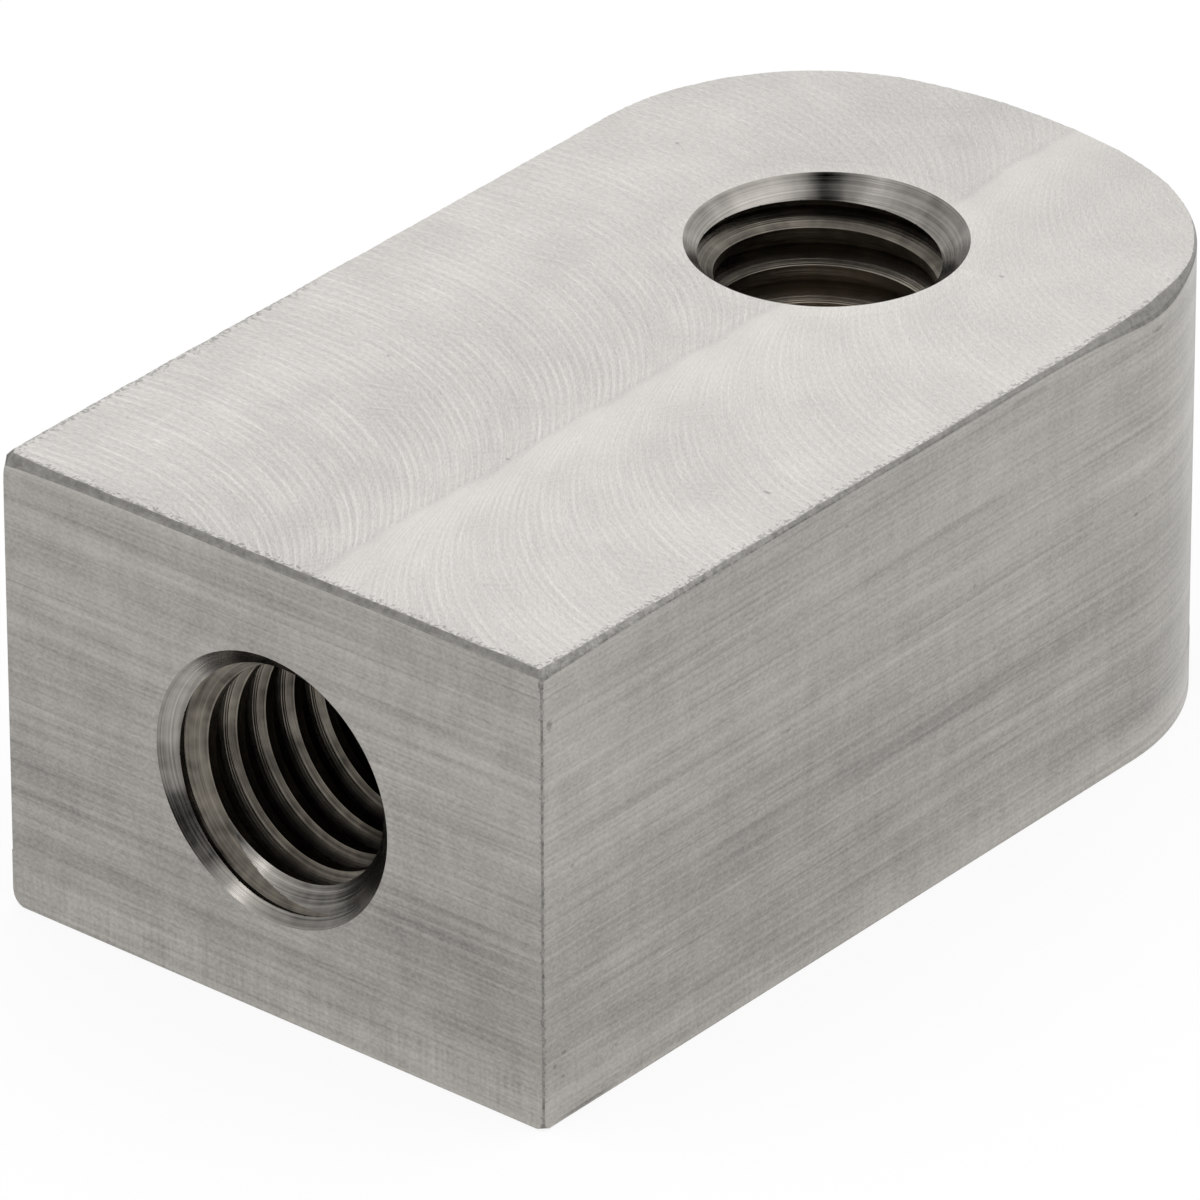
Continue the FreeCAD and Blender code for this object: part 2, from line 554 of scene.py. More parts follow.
# %% [markdown]
# ## One closed mesh
#
# All patches go into one mesh, points that lie on each other are merged, and the faces are turned
# outwards. Edges that turn by more than 12 degrees are marked sharp, so that flats stay flat and
# arcs stay round. If one edge had only one face, the skin would have a hole, so that is counted.

# %% Make the mesh, merge its seams and count open edges
MERGE = 0.0015
SHARP_ANGLE = 12
points = np.concatenate(skin["points"]) * MM
corners = np.concatenate(skin["corners"])
sizes = np.concatenate(skin["sizes"])
mesh = bpy.data.meshes.new("milled_block")
mesh.vertices.add(len(points))
mesh.vertices.foreach_set("co", points.ravel())
mesh.loops.add(len(corners))
mesh.loops.foreach_set("vertex_index", corners)
mesh.polygons.add(len(sizes))
mesh.polygons.foreach_set("loop_start", np.concatenate([[0], np.cumsum(sizes)[:-1]]))
mesh.polygons.foreach_set("material_index", np.concatenate(skin["finish"]))
mesh.update(calc_edges=True)
pattern_map = mesh.uv_layers.new(name="pattern")
pattern_map.data.foreach_set("uv", np.concatenate(skin["pattern"]).ravel())

body = bmesh.new()
body.from_mesh(mesh)
bmesh.ops.remove_doubles(body, verts=body.verts, dist=MERGE * MM)
bmesh.ops.recalc_face_normals(body, faces=body.faces)
open_edges = sum(len(edge.link_faces) != 2 for edge in body.edges)
print("volume in mm3:", round(body.calc_volume(signed=True) / MM ** 3, 1))
print("open edges:", open_edges)
body.to_mesh(mesh)
body.free()
mesh.shade_smooth()
mesh.set_sharp_from_angle(angle=math.radians(SHARP_ANGLE))
mesh.calc_loop_triangles()
print("triangles:", len(mesh.loop_triangles))
block = bpy.data.objects.new("milled_block", mesh)
bpy.context.scene.collection.objects.link(block)
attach(block, "root")
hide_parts("mounting_block")

# %% [markdown]
# ## Finishes
#
# The whole block is one steel, but each tool left another surface on it. A metal has no colour
# under its reflection, so a finish is a base colour, a roughness and the fine pattern of the
# tool. Every pattern below starts from a size that can be measured on the part, in millimetres.

# %% Colours, and functions that add nodes
def linear(hex_colour):
    """The linear RGBA value of an sRGB hex colour."""
    channels = np.array([int(hex_colour[i:i + 2], 16) for i in (1, 3, 5)]) / 255
    curved = ((channels + 0.055) / 1.055) ** 2.4
    return (*np.where(channels <= 0.04045, channels / 12.92, curved), 1.0)


def add(tree, kind, inputs, output=0, **settings):
    """Adds a node, applies its settings and fills or links its inputs.

    It returns one output, by name or number, or the node itself where output is None.
    """
    node = tree.nodes.new("ShaderNode" + kind)
    for name, value in settings.items():
        setattr(node, name, value)
    for socket, value in inputs.items():
        if isinstance(value, bpy.types.NodeSocket):
            tree.links.new(value, node.inputs[socket])
        else:
            node.inputs[socket].default_value = value
    return node if output is None else node.outputs[output]


def calc(tree, operation, *values, **settings):
    """One step of arithmetic on numbers: a Math node over one to three values."""
    return add(tree, "Math", dict(enumerate(values)), operation=operation, **settings)


def fit(tree, value, start, end, low=0.0, high=1.0):
    """A level that goes from low to high while the value goes from start to end."""
    return add(tree, "MapRange", {"Value": value, "From Min": start, "From Max": end,
                                  "To Min": low, "To Max": high})


def axis(tree, vector, name):
    """The X, Y or Z part of a vector."""
    return add(tree, "SeparateXYZ", {0: vector}, output=name)


def dot(tree, vector, direction):
    """The dot product of a vector and a fixed direction."""
    return add(tree, "VectorMath", {0: vector, 1: tuple(direction)}, output="Value",
               operation="DOT_PRODUCT")


def weigh(tree, terms, start=1.0):
    """Adds up patterns: start plus each pattern times its weight."""
    total = start
    for pattern, weight in terms:
        total = calc(tree, "MULTIPLY_ADD", pattern, weight, total)
    return total


def new_finish(name):
    """An empty node material, its tree, and the position on the block in millimetres."""
    material = bpy.data.materials.new(name)
    material.use_nodes = True
    tree = material.node_tree
    tree.nodes.clear()
    position = add(tree, "VectorMath", {0: add(tree, "TexCoord", {}, output="Object"),
                                        "Scale": 1 / MM}, operation="SCALE")
    return material, tree, position


def finish_metal(tree, colour, tone, roughness, height):
    """Steel: the base colour times the tone, a roughness, and a relief height in millimetres."""
    base = add(tree, "VectorMath", {0: linear(colour)[:3], "Scale": tone}, operation="SCALE")
    relief = add(tree, "Bump", {"Height": height, "Distance": MM})
    surface = add(tree, "BsdfPrincipled", {
        "Base Color": base, "Metallic": 1.0, "Roughness": roughness, "Normal": relief})
    add(tree, "OutputMaterial", {"Surface": surface}, output=None)


# %% [markdown]
# The finishes share five patterns: flat noise, noise in space, a curve over one value, soft marks
# at given places, and the distance from a bore's axis.

# %% Noise, curves, marks and distances
MARK_CORE = 0.5
MARK_END = 1.3


def noise(tree, way, scale, detail, roughness=0.5, turned=0.0):
    """Flat noise over `way`, with its own scale along each of the two coordinates.

    `turned` is an angle in radians by which the noise's own square lattice is turned.
    """
    vector = add(tree, "VectorMath", {0: way, 1: (*scale, 0.0)}, operation="MULTIPLY")
    if turned:
        vector = add(tree, "VectorRotate", {"Vector": vector, "Angle": turned},
                     rotation_type="Z_AXIS")
    return add(tree, "TexNoise", {"Vector": vector, "Scale": 1.0, "Detail": detail,
                                  "Roughness": roughness}, noise_dimensions="2D")


def lumps(tree, position, scale, detail, roughness):
    """Noise in space, alike in every direction."""
    return add(tree, "TexNoise", {"Vector": position, "Scale": scale, "Detail": detail,
                                  "Roughness": roughness})


def ramp(tree, value, stops):
    """A piecewise straight curve over a value, given as (value, level) pairs.

    A level of 0.5 is neutral: the curve gives the level less 0.5.
    """
    start, end = stops[0][0], stops[-1][0]
    curve = tree.nodes.new("ShaderNodeValToRGB")
    elements = curve.color_ramp.elements
    for _ in stops[2:]:
        elements.new(1.0)
    for element, (at, level) in zip(elements, stops):
        element.position = (at - start) / (end - start)
        element.color = (level, level, level, 1)
    tree.links.new(fit(tree, value, start, end), curve.inputs[0])
    return calc(tree, "ADD", curve.outputs[0], -0.5)


def marks(tree, way, spots):
    """Soft oval marks, as (middle, middle, half width, half width, strength), added up.

    The distance from the middle is counted in half widths: a mark is full up to MARK_CORE of
    them and gone at MARK_END.
    """
    slope = 1 / (MARK_END - MARK_CORE)
    terms = []
    for across, up_way, width, rise, strength in spots:
        off = add(tree, "VectorMath", {0: way, 1: (1 / width, 1 / rise, 0.0),
                                       2: (-across / width, -up_way / rise, 0.0)},
                  operation="MULTIPLY_ADD")
        reach = add(tree, "VectorMath", {0: off}, output="Value", operation="LENGTH")
        inside = calc(tree, "MULTIPLY_ADD", reach, -slope, MARK_END * slope, use_clamp=True)
        terms.append((inside, strength))
    return weigh(tree, terms, 0.0)


def from_axis(tree, position, bore):
    """The distance from a bore's axis, in millimetres."""
    off = add(tree, "VectorMath", {0: position, 1: tuple(bore["centre"])}, operation="SUBTRACT")
    in_plane = tuple(np.abs(bore["axes"]).sum(0))
    flat = add(tree, "VectorMath", {0: off, 1: in_plane}, operation="MULTIPLY")
    return add(tree, "VectorMath", {0: flat}, output="Value", operation="LENGTH")


# %% [markdown]
# ### Face-milled steel
#
# A face mill of 22 mm diameter crossed the top twice. At each turn it moved on by a third of a
# millimetre, so each pass is a stack of arcs, all alike, that far apart along the block. The
# passes meet in a seam a little to the right of the middle. The arcs are written as a phase: the
# place along the block, less the height of the arc at this place across it, over the feed. The
# mill's trailing edge cut fainter arcs the other way round. Burr stands on the front edge and on
# the near side edge only.

# %% Places on the face-milled top
CUTTER_RADIUS = 11.0
FEED = 0.333
SEAM_X = 1.38
SEAM_STRAY = 0.6
PASS_CENTRES = (-7.75, SEAM_X + CUTTER_RADIUS)
PASS_SIDES = (-1, 1)
TRAILING_OFFSET = 70.0
NEAR_SIDE = (0.64, -0.77, 0.0)
# Painted sheen: the broad light and dark bands across the top, where the arcs of each pass catch
# the light, as a curve across the block.
TOP_SHEEN_STOPS = ((-10, 0.51), (-9, 0.512), (-7, 0.525), (-5, 0.5), (-3, 0.492), (-1, 0.487),
             (0.5, 0.505), (0.98, 0.505), (1.12, 0.52), (1.3, 0.49), (1.4, 0.5), (1.6, 0.548),
             (2.3, 0.555), (2.8, 0.54), (4, 0.525), (6, 0.52), (8, 0.525), (10, 0.525))
TOP_RING = ((4.2, 0.545), (4.5, 0.535), (4.8, 0.525), (4.93, 0.48), (4.98, 0.52), (5.1, 0.5),
            (5.4, 0.5))
TOP_MARKS = ((-5.25, -6.2, 0.07, 0.05, -0.35), (1.38, -8.75, 0.08, 0.06, -0.35),
             (8.3, -5.6, 0.14, 0.06, -0.35), (-7.2, 9.3, 0.08, 0.06, -0.3),
             (5.4, 8.8, 0.1, 0.07, -0.3), (4.65, 8.35, 0.4, 0.14, 0.07),
             (4.2, 0.6, 1.5, 2.0, 0.04), (5.5, -5.0, 2.2, 1.7, -0.035),
             (-7.75, -13.2, 0.1, 0.7, 0.06), (-6.9, -14.35, 0.22, 0.5, 0.06),
             (-5.7, -15.2, 0.6, 0.2, 0.06))


# %% The arcs of both passes
def cutter_arcs(tree, x, y, pass_centre, pass_side):
    """Phase of the arcs of one pass, in feeds, and the way along an arc, in millimetres."""
    across = calc(tree, "ADD", x, -pass_centre)
    rest = calc(tree, "SUBTRACT", CUTTER_RADIUS ** 2, calc(tree, "MULTIPLY", across, across))
    arc = calc(tree, "SQRT", calc(tree, "MAXIMUM", rest, 0.01))
    travel = calc(tree, "MULTIPLY_ADD", arc, pass_side, y)
    turn = calc(tree, "ARCSINE", calc(tree, "MULTIPLY", across, 1 / CUTTER_RADIUS))
    return calc(tree, "MULTIPLY", travel, 1 / FEED), calc(tree, "MULTIPLY", turn, CUTTER_RADIUS)


def cutter_lines(tree, phase, way):
    """A smooth wave across the arcs, and the tone of bright crests and uneven lines on it."""
    arc_way = add(tree, "CombineXYZ", {"X": phase, "Y": way})
    wave = calc(tree, "SINE", calc(tree, "MULTIPLY", phase, 2 * math.pi))
    crest = calc(tree, "POWER", calc(tree, "MULTIPLY_ADD", wave, 0.5, 0.5), 2.0)
    uneven = fit(tree, noise(tree, arc_way, (0.7, 0.15), 0.0), 0.3, 0.7, 0.7, 1.3)
    lines = noise(tree, arc_way, (2.4, 0.3), 2.0, 0.75)
    return wave, weigh(tree, ((calc(tree, "MULTIPLY", crest, uneven), 0.09), (lines, 0.36)), 0.0)


# %% Face-milled steel, for the top and the underside
def face_milled():
    material, tree, position = new_finish("face_milled_stainless_steel")
    patch = noise(tree, position, (0.4, 0.4), 1.0, 0.6)
    x, y = (axis(tree, position, name) for name in "XY")
    ragged_x = calc(tree, "MULTIPLY_ADD", patch, SEAM_STRAY, x)
    ragged_x = calc(tree, "ADD", ragged_x, -SEAM_STRAY / 2)
    right_pass = calc(tree, "GREATER_THAN", ragged_x, SEAM_X)
    left_arcs, right_arcs = (cutter_arcs(tree, x, y, centre, side)
                             for centre, side in zip(PASS_CENTRES, PASS_SIDES))
    phase, way = (add(tree, "Mix", {"Factor": right_pass, "A": left, "B": right})
                  for left, right in zip(left_arcs, right_arcs))
    there_and_back = calc(tree, "MULTIPLY", y, 2 / FEED)
    trailing = calc(tree, "SUBTRACT", there_and_back, phase)
    leading_wave, leading_tone = cutter_lines(tree, phase, way)
    trailing_wave, trailing_tone = cutter_lines(
        tree, trailing, calc(tree, "ADD", way, TRAILING_OFFSET))

    near_seam = fit(tree, x, -4.5, -1.0)
    leads = fit(tree, weigh(tree, ((patch, 1.0), (near_seam, 0.12)), 0.0), 0.34, 0.54, 0.4, 1.0)
    trails = calc(tree, "SUBTRACT", 1.0, leads)
    lines = calc(tree, "ADD", calc(tree, "MULTIPLY", leading_tone, leads),
                 calc(tree, "MULTIPLY", trailing_tone, trails))
    calm = calc(tree, "MULTIPLY_ADD", right_pass, -0.3, 1.0)
    calm = calc(tree, "MULTIPLY", calm, fit(tree, y, -6.0, 10.0, 1.0, 0.5))
    lines = calc(tree, "MULTIPLY", calc(tree, "ADD", lines, -0.215), calm)
    dash_way = add(tree, "CombineXYZ", {"X": phase, "Y": way})
    grain = noise(tree, dash_way, (5.0, 5.5), 1.0, 0.6, turned=0.6)

    # Painted sheen across the block, on each side of the seam.
    painted_sheen_across = ramp(tree, ragged_x, TOP_SHEEN_STOPS)
    to_rear = fit(tree, y, 7.0, 13.0)
    to_front = fit(tree, y, -15.0, -17.4)
    ring = ramp(tree, from_axis(tree, position, bores["upright"]), TOP_RING)
    spots = marks(tree, position, TOP_MARKS)

    rim = axis(tree, add(tree, "UVMap", {}, uv_map="pattern"), "Y")
    burr = calc(tree, "MULTIPLY_ADD", fit(tree, rim, 0.5, 0.0), 0.4,
                noise(tree, position, (6.0, 6.0), 1.0, 0.8))
    near_side = fit(tree, dot(tree, position, NEAR_SIDE), -5.0, -1.0)
    burr = calc(tree, "MULTIPLY", fit(tree, burr, 0.77, 0.9), near_side)

    tone = weigh(tree, ((lines, 1.0), (grain, 0.36), (patch, 0.15), (painted_sheen_across, 2.0),
                        (to_rear, -0.045), (to_front, -0.03), (ring, 1.0), (spots, 1.0),
                        (burr, -0.35)), 1 - 0.18 - 0.075)
    height = weigh(tree, ((leading_wave, 0.0006), (trailing_wave, 0.0004)), 0.0)
    finish_metal(tree, "#D9D6D2", tone, 0.42, height)
    return material


# %% [markdown]
# ### Side-milled steel
#
# An end mill went once round the block and left long lines, which keep their height all the way
# round. The same profile of lines shows on the front and on the sides, so most of the pattern is
# noise over the height that changes slowly along the way. The rest is short streaks, grain, a
# few pits and stains, and upright chatter marks on the low band below the step. Some tone is
# painted light: a painted reflection along the way, lighter up the right side and round the rear
# corner and darker where that corner turns away, a painted highlight beside the near corner, and
# a painted shadow along the foot of the right wall.

# %% Places on the side-milled walls
WALL_STOPS = ((0, 0.5), (0.22, 0.5), (0.31, 0.455), (0.37, 0.465), (0.5, 0.505), (1.0, 0.5),
              (1.25, 0.465), (1.55, 0.44), (STEP_HEIGHT, 0.44), (2.2, 0.445), (3.0, 0.452),
              (5.4, 0.44), (6.6, 0.465), (8.5, 0.50), (11.5, 0.515), (13.0, 0.505), (13.9, 0.495),
              (14.2, 0.5), (14.4, 0.53), (14.62, 0.53), (HEIGHT, 0.50))
# Painted reflection along the way round: lighter up the right side and round the rear corner,
# darker where that corner turns away.
SIDE_SHEEN_STOPS = ((0, 0.5), (0.2, 0.54), (3, 0.53), (8, 0.50), (12, 0.515), (16, 0.525), (20, 0.55),
              (24, 0.55), (27, 0.56), (29, 0.565), (30, 0.58), (31, 0.61), (31.5, 0.54),
              (32.2, 0.42), (33.5, 0.46), (36, 0.5), (40, 0.5))
FRONT_RINGS = ((4.3, 0.5), (4.45, 0.52), (4.5, 0.55), (4.55, 0.51), (4.82, 0.51), (4.86, 0.54),
               (4.9, 0.5), (5.2, 0.5))
WALL_MARKS_AND_SHADOW = ((7.3, 8.6, 1.6, 0.55, -0.07), (13.9, 5.3, 1.5, 0.55, -0.08),
              (22.0, 5.5, 9.0, 0.7, -0.045), (21.8, 14.4, 0.9, 0.1, -0.2),
              (7.0, 8.0, 0.3, 0.07, 0.14), (5.3, 3.4, 0.35, 0.07, 0.12),
              (13.5, 13.7, 0.1, 0.05, -0.35), (27.0, 8.3, 0.11, 0.07, -0.35),
              (28.0, 14.0, 0.3, 0.07, -0.35), (19.4, 9.2, 0.08, 0.06, -0.3),
              (10.9, 8.2, 0.1, 0.05, -0.3), (1.3, 8.1, 0.1, 0.06, -0.3),
              (0.9, 2.2, 0.1, 0.07, -0.3), (-14.5, 0.7, 0.55, 0.25, -0.12),
              # The mark at (1.9, 0.1) is a painted shadow along the foot of the right wall.
              (-3.2, 10.8, 2.2, 1.3, 0.03), (1.9, 0.1, 1.3, 0.07, -0.4),
              (0.32, 13.04, 0.13, 0.2, -0.4), (-0.09, 14.43, 0.06, 0.13, -0.5),
              (0.5, 1.9, 0.09, 0.07, -0.35), (0.85, 1.45, 0.08, 0.06, -0.35),
              (3.2, 1.4, 0.07, 0.06, -0.3), (-10, 13.95, 10, 0.25, -0.05),
              (-3.5, 4.3, 4.0, 1.6, -0.05))


# %% Side-milled steel, for the walls
def side_milled():
    material, tree, position = new_finish("side_milled_stainless_steel")
    way = add(tree, "UVMap", {}, uv_map="pattern")
    along, height_up = (axis(tree, way, name) for name in "XY")
    lines = noise(tree, way, (0.02, 1.5), 3.0, 0.95)
    fine = noise(tree, way, (0.13, 8.0), 1.0, 0.6)
    grain = noise(tree, way, (7.0, 9.0), 1.0, 0.6, turned=0.6)
    clouds = noise(tree, way, (0.35, 0.5), 2.0, 0.65)
    across = noise(tree, way, (2.2, 0.6), 0.0, turned=0.12)
    scratches = fit(tree, fine, 0.64, 0.78)
    bands = ramp(tree, height_up, WALL_STOPS)
    # Painted reflection along the way round, lighter round the rear corner.
    on_side = ramp(tree, along, SIDE_SHEEN_STOPS)
    # Marks: pits and stains, and one painted shadow along the foot of the right wall.
    spots = marks(tree, way, WALL_MARKS_AND_SHADOW)

    on_front = calc(tree, "LESS_THAN", along, 0.0)
    below_step = fit(tree, height_up, STEP_HEIGHT, STEP_HEIGHT - 0.6)
    chatter = calc(tree, "ADD", noise(tree, way, (8.0, 0.3), 1.0), -0.5)
    chatter = calc(tree, "MULTIPLY", chatter, below_step)
    chatter = calc(tree, "MULTIPLY", chatter, calc(tree, "MULTIPLY_ADD", on_front, 0.12, 0.14))
    low_right = calc(tree, "MAXIMUM", calc(tree, "SUBTRACT", below_step, on_front), 0.0)
    rings = ramp(tree, from_axis(tree, position, bores["front"]), FRONT_RINGS)
    rings = calc(tree, "MULTIPLY", rings, on_front)

    from_corner = calc(tree, "ABSOLUTE", along)
    burr = calc(tree, "MULTIPLY_ADD", fit(tree, from_corner, 0.25, 0.02), 0.35, grain)
    burr = fit(tree, burr, 0.8, 0.9)
    # Painted highlight: a light strip on the wall beside the near corner.
    painted_corner_highlight = fit(tree, from_corner, 0.7, 0.2)

    tone = weigh(tree, ((lines, 0.64), (fine, 0.4), (grain, 0.42), (clouds, 0.26),
                        (across, 0.11), (bands, 2.0), (on_side, 2.0), (spots, 1.0), (chatter, 1.0),
                        (rings, 1.0), (scratches, -0.15), (burr, -0.42), (painted_corner_highlight, 0.04),
                        (low_right, 0.06)), 1 - 0.32 - 0.2 - 0.21 - 0.13 - 0.055)
    finish_metal(tree, "#A29F9A", tone, 0.36, calc(tree, "MULTIPLY", fine, 0.006))
    return material


# %% [markdown]
# ### Broken edges
#
# The chamfers were broken by hand with a file, and are grey and speckled. The specks are noise in
# space, which has no seams round a corner, and are stronger towards the near corner. Faint
# streaks run along the edge. The borders of each chamfer carry the light and shade of a rounding
# that the mesh does not have: a painted highlight along the top border, and along the lower
# border a painted highlight on the front and a darker painted shade on the sides.

# %% Filed edge breaks
EDGE_STOPS = ((-20, 0.5), (0, 0.5), (0.05, 0.6), (2.5, 0.63), (6, 0.61), (9, 0.6), (11, 0.55),
              (14, 0.59), (17, 0.55), (20, 0.59), (24, 0.615), (25.5, 0.615), (27, 0.535),
              (31, 0.525), (40, 0.525))


def broken_edge():
    material, tree, position = new_finish("filed_stainless_steel")
    way = add(tree, "UVMap", {}, uv_map="pattern")
    along, height_up = (axis(tree, way, name) for name in "XY")
    streaks = noise(tree, way, (1.0, 9.0), 1.0)
    specks = lumps(tree, position, 5.0, 3.0, 0.8)
    on_side = calc(tree, "GREATER_THAN", along, 0.0)
    upright = fit(tree, height_up, HEIGHT - 0.35, HEIGHT - 0.6)
    ragged = fit(tree, noise(tree, way, (0.2, 3.0), 3.0, 0.8), 0.38, 0.62)
    ragged = calc(tree, "MULTIPLY", ragged, upright)
    near = calc(tree, "MULTIPLY", fit(tree, along, 16.0, 6.0), on_side)
    coarse = calc(tree, "MULTIPLY", specks, near)
    by_place = ramp(tree, along, EDGE_STOPS)
    # Painted light and shade of a rounding that the flat chamfer lacks: a painted highlight along
    # the top border, and along the lower border a painted highlight on the front and painted shade
    # on the sides.
    painted_lower_border = calc(tree, "COMPARE", height_up, HEIGHT - BREAK_WIDTH, 0.035)
    painted_lower_shade = calc(tree, "MULTIPLY", painted_lower_border, on_side)
    painted_upper_highlight = fit(tree, height_up, HEIGHT - 0.03, HEIGHT)
    tone = weigh(tree, ((streaks, 0.4), (specks, 1.2), (coarse, 1.2), (near, -0.6),
                        (by_place, 2.0), (painted_lower_border, 0.1), (painted_lower_shade, -0.3),
                        (painted_upper_highlight, 0.12), (ragged, -0.35), (upright, 0.1)), 1 - 0.2 - 0.6)
    finish_metal(tree, "#8A8884", tone, 0.4, calc(tree, "MULTIPLY", specks, 0.01))
    return material


# %% [markdown]
# ### Countersinks
#
# The countersinks were cut with a small tool at high speed and are shiny, with fine rings that
# keep their depth. The bright and dark stretches round each cone are painted reflection: a curve
# over the angle puts each painted glint and painted dark stretch where it is on the real part,
# which noise could not.

# %% Shiny countersinks
# Painted reflection round each cone, over the turn: the dips are painted dark stretches and the
# peaks painted glints.
FRONT_SINK_REFLECTION_STOPS = ((0, 0.5), (0.12, 0.43), (0.25, 0.48), (0.4, 0.42), (0.48, 0.33),
                    (0.5, 0.31), (0.53, 0.26), (0.555, 0.21), (0.565, 0.1), (0.645, 0.1),
                    (0.67, 0.38), (0.685, 0.45), (0.7, 0.53), (0.73, 0.36), (0.78, 0.23),
                    (0.82, 0.21), (0.88, 0.22), (0.93, 0.4), (1, 0.5))
UPRIGHT_SINK_REFLECTION_STOPS = ((0, 0.45), (0.06, 0.39), (0.11, 0.34), (0.165, 0.31), (0.215, 0.28),
                      (0.25, 0.37), (0.29, 0.455), (0.33, 0.25), (0.345, 0.14), (0.365, 0.14),
                      (0.39, 0.4), (0.435, 0.55), (0.495, 0.455), (0.555, 0.38), (0.61, 0.41),
                      (0.7, 0.45), (1, 0.45))
PAST_FRONT_SINK = -10.0


def countersunk():
    material, tree, position = new_finish("countersunk_stainless_steel")
    turn, phase = (axis(tree, add(tree, "UVMap", {}, uv_map="pattern"), name) for name in "XY")
    depth = calc(tree, "SUBTRACT", phase, turn)
    ring_way = add(tree, "CombineXYZ", {"X": depth, "Y": turn})
    rings = noise(tree, ring_way, (16.0, 1.5), 2.0, 0.8)
    scuffs = lumps(tree, position, 1.3, 2.0, 0.6)
    in_front = calc(tree, "LESS_THAN", axis(tree, position, "Y"), PAST_FRONT_SINK)
    # Painted reflection: the curve over the angle for the cone at hand.
    painted_reflection_round = add(tree, "Mix", {"Factor": in_front, "A": ramp(tree, turn, UPRIGHT_SINK_REFLECTION_STOPS),
                               "B": ramp(tree, turn, FRONT_SINK_REFLECTION_STOPS)})
    tone = weigh(tree, ((rings, 0.95), (scuffs, 0.6), (painted_reflection_round, 2.0)), 1 - 0.475 - 0.3)
    finish_metal(tree, "#A5A19B", tone, 0.22, calc(tree, "MULTIPLY", rings, 0.004))
    return material


# %% [markdown]
# ### Threads
#
# The tap tore more than it cut, so the threads are browner and darker in patches, with fine lines
# along the helix. The lines come from noise over the phase, which every turn repeats. In the
# upright bore the threads are painted lighter with depth, as painted light for the light that the
# deep threads catch.

# %% Tapped thread
UPRIGHT_BORE_START = -3.0


def tapped():
    material, tree, position = new_finish("tapped_stainless_steel")
    turn, phase = (axis(tree, add(tree, "UVMap", {}, uv_map="pattern"), name) for name in "XY")
    line_way = add(tree, "CombineXYZ", {"X": calc(tree, "FRACT", phase), "Y": turn})
    lines = noise(tree, line_way, (20.0, 1.5), 2.0, 0.8)
    tears = lumps(tree, position, 1.1, 2.0, 0.6)
    upright = calc(tree, "GREATER_THAN", axis(tree, position, "Y"), UPRIGHT_BORE_START)
    # Painted light: the upright bore's threads grow lighter with depth.
    deep = fit(tree, calc(tree, "SUBTRACT", phase, turn), 0.8, 2.0)
    deep = calc(tree, "MULTIPLY", deep, upright)
    tone = weigh(tree, ((lines, 1.7), (tears, 2.4), (deep, 2.2)), 1 - 0.85 - 1.2)
    finish_metal(tree, "#67625A", tone, 0.26, calc(tree, "MULTIPLY", lines, 0.012))
    return material


# %% [markdown]
# Each face already holds the number of its finish, so the materials only have to be added in the
# order of FINISHES.

# %% Put the finishes on the block
for make_finish in (face_milled, side_milled, broken_edge, countersunk, tapped):
    mesh.materials.append(make_finish())
print("finishes:", [material.name for material in mesh.materials])

# %% [markdown]
# ## Floor, light and camera
#
# The photograph was taken in a bright tent with a dark gap on the camera's side, which polished
# cones show as a dark streak. The world does the same: pale all round, with three soft
# bright areas and that gap. A tent this even needs no rays aimed at them, and without those
# the render is a fifth faster. The floor is white paper that can be seen through from below, so
# that the underside can be looked at; it lies a hair below the block for the same reason.

# %% White floor
FLOOR_SIZE = 1.5
FLOOR_LEVEL = -0.02 * MM
GLOW_STRENGTH = 1.05
GLOW_SHARE = 0.82
floor_mesh = bpy.data.meshes.new("floor")
floor_corners = [(x * FLOOR_SIZE, y * FLOOR_SIZE, FLOOR_LEVEL)
                 for x, y in ((-1, -1), (1, -1), (1, 1), (-1, 1))]
floor_mesh.from_pydata(floor_corners, [], [(0, 1, 2, 3)])
floor = bpy.data.objects.new("floor", floor_mesh)
bpy.context.scene.collection.objects.link(floor)
paper = bpy.data.materials.new("white_paper")
paper.use_nodes = True
tree = paper.node_tree
tree.nodes.clear()
matt = add(tree, "BsdfDiffuse", {"Color": linear("#F2F2F2")})
glow = add(tree, "Emission", {"Color": (1, 1, 1, 1), "Strength": GLOW_STRENGTH})
path = add(tree, "LightPath", {}, output=None).outputs
seen = calc(tree, "MAXIMUM", path["Is Camera Ray"], path["Is Glossy Ray"])
seen = calc(tree, "MAXIMUM", seen, path["Is Transmission Ray"])
share = calc(tree, "MULTIPLY", seen, GLOW_SHARE)
white = add(tree, "MixShader", {0: share, 1: matt, 2: glow})
from_below = add(tree, "NewGeometry", {}, output="Backfacing")
clear = add(tree, "BsdfTransparent", {})
surface = add(tree, "MixShader", {0: from_below, 1: white, 2: clear})
add(tree, "OutputMaterial", {"Surface": surface}, output=None)
floor_mesh.materials.append(paper)

# %% [markdown]
# The camera's place, aim and long lens were worked out from the block's own edges in the
# photograph, so that render and photograph can be laid on each other.

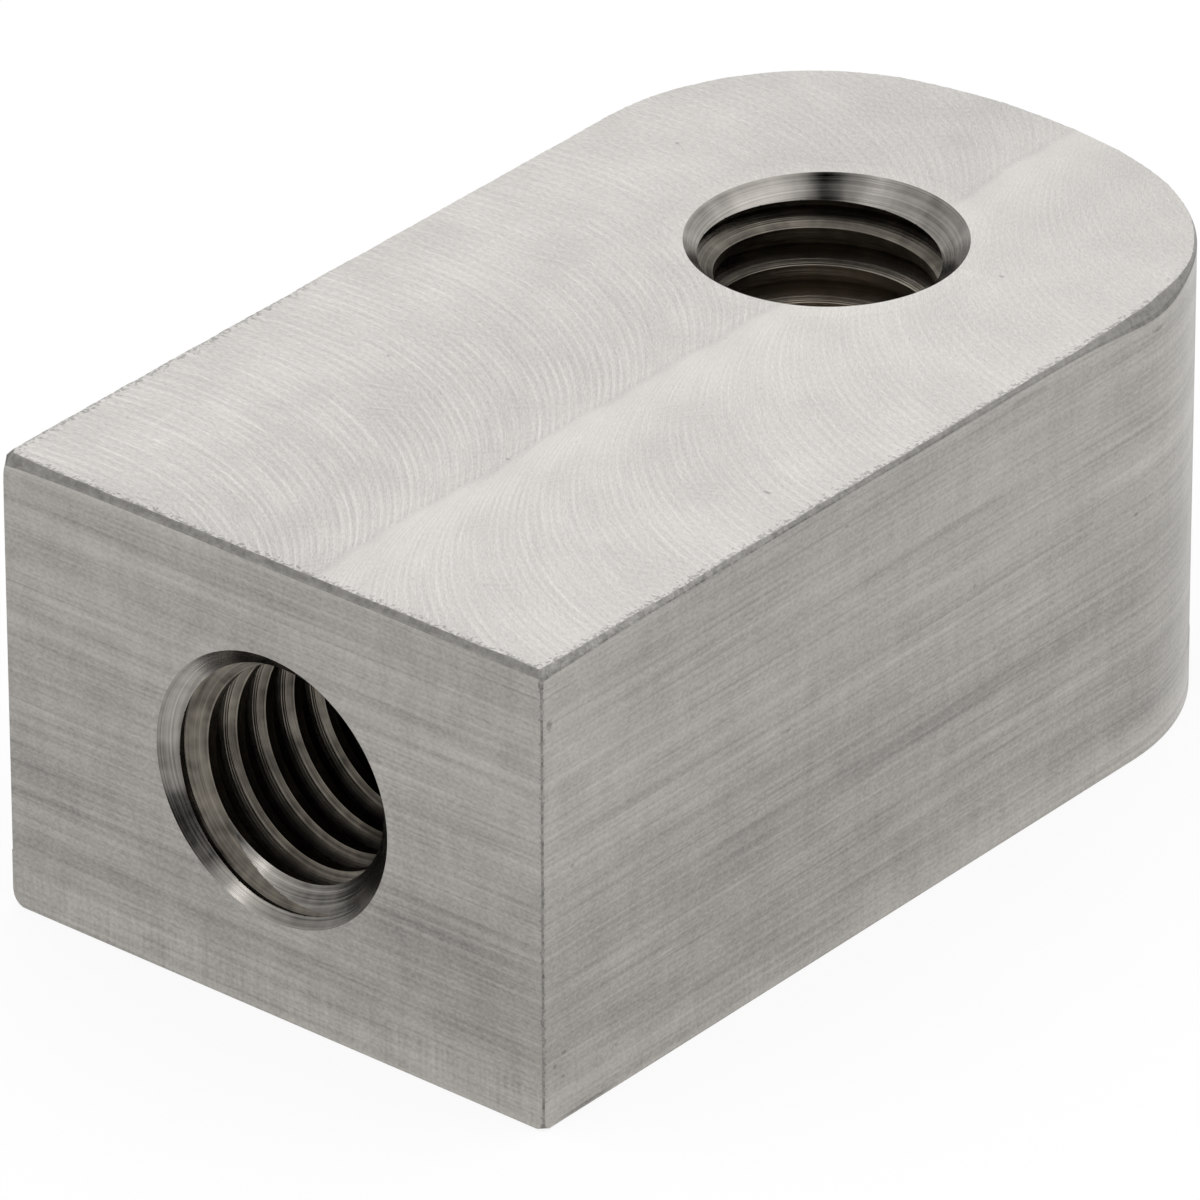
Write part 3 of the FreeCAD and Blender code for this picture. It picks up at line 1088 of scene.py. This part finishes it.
# %% Camera of the photograph
IMAGE_SIZE = 1200
FOCAL_PIXELS = 14323.85
CAMERA_AZIMUTH = math.radians(-50.330)
CAMERA_ELEVATION = math.radians(29.335)
CAMERA_ROLL = math.radians(-0.153)
CAMERA_DISTANCE = 421.58
TARGET = np.array([-3.78, 1.55, 3.95])
flat_ahead = np.array([math.cos(CAMERA_AZIMUTH), math.sin(CAMERA_AZIMUTH), 0])
back = math.cos(CAMERA_ELEVATION) * flat_ahead + [0, 0, math.sin(CAMERA_ELEVATION)]
level_right = np.array([-math.sin(CAMERA_AZIMUTH), math.cos(CAMERA_AZIMUTH), 0])
level_up = np.cross(back, level_right)
right = math.cos(CAMERA_ROLL) * level_right + math.sin(CAMERA_ROLL) * level_up
upwards = math.cos(CAMERA_ROLL) * level_up - math.sin(CAMERA_ROLL) * level_right
camera_data = bpy.data.cameras.new("photo_camera")
camera_data.sensor_width = 36.0
camera_data.lens = FOCAL_PIXELS / IMAGE_SIZE * camera_data.sensor_width
camera = bpy.data.objects.new("photo_camera", camera_data)
place_in_room = np.eye(4)
place_in_room[:3, :3] = np.stack([right, upwards, back], 1)
place_in_room[:3, 3] = (TARGET + CAMERA_DISTANCE * back) * MM
camera.matrix_world = Matrix(place_in_room)
bpy.context.scene.collection.objects.link(camera)
bpy.context.scene.camera = camera

# %% [markdown]
# Each soft area of the tent is given as azimuth and elevation of its middle, the angles of its
# edge and of its full core, all in degrees, and its strength.

# %% Light tent with a dark gap on the camera's side
TENT_LEVEL = 0.92
GAP_STRENGTH = -0.88
SOFT_AREAS = ((-100, 49, 6, 3, 2.0), (20, 55, 30, 15, 0.2), (60, 30, 60, 30, 0.1))
world = bpy.data.worlds.new("light_tent")
bpy.context.scene.world = world
world.use_nodes = True
world.cycles.sampling_method = "NONE"
tree = world.node_tree
tree.nodes.clear()
direction = add(tree, "TexCoord", {}, output="Generated")
areas = []
for azimuth, elevation, edge, core, area_strength in SOFT_AREAS:
    azimuth, elevation = math.radians(azimuth), math.radians(elevation)
    middle = (math.cos(azimuth) * math.cos(elevation), math.sin(azimuth) * math.cos(elevation),
              math.sin(elevation))
    area = fit(tree, dot(tree, direction, middle), math.cos(math.radians(edge)),
               math.cos(math.radians(core)))
    areas.append((area, area_strength))
aside = calc(tree, "ABSOLUTE", dot(tree, direction, level_right))
in_gap = fit(tree, aside, 0.13, 0.05)
this_side = fit(tree, dot(tree, direction, flat_ahead), 0.15, 0.3)
gap = calc(tree, "MULTIPLY", in_gap, this_side)
level = weigh(tree, (*areas, (gap, GAP_STRENGTH)), TENT_LEVEL)
tent = add(tree, "Background", {"Color": (1, 1, 1, 1), "Strength": level})
add(tree, "OutputWorld", {"Surface": tent}, output=None)
bpy.context.scene.view_settings.view_transform = "Standard"
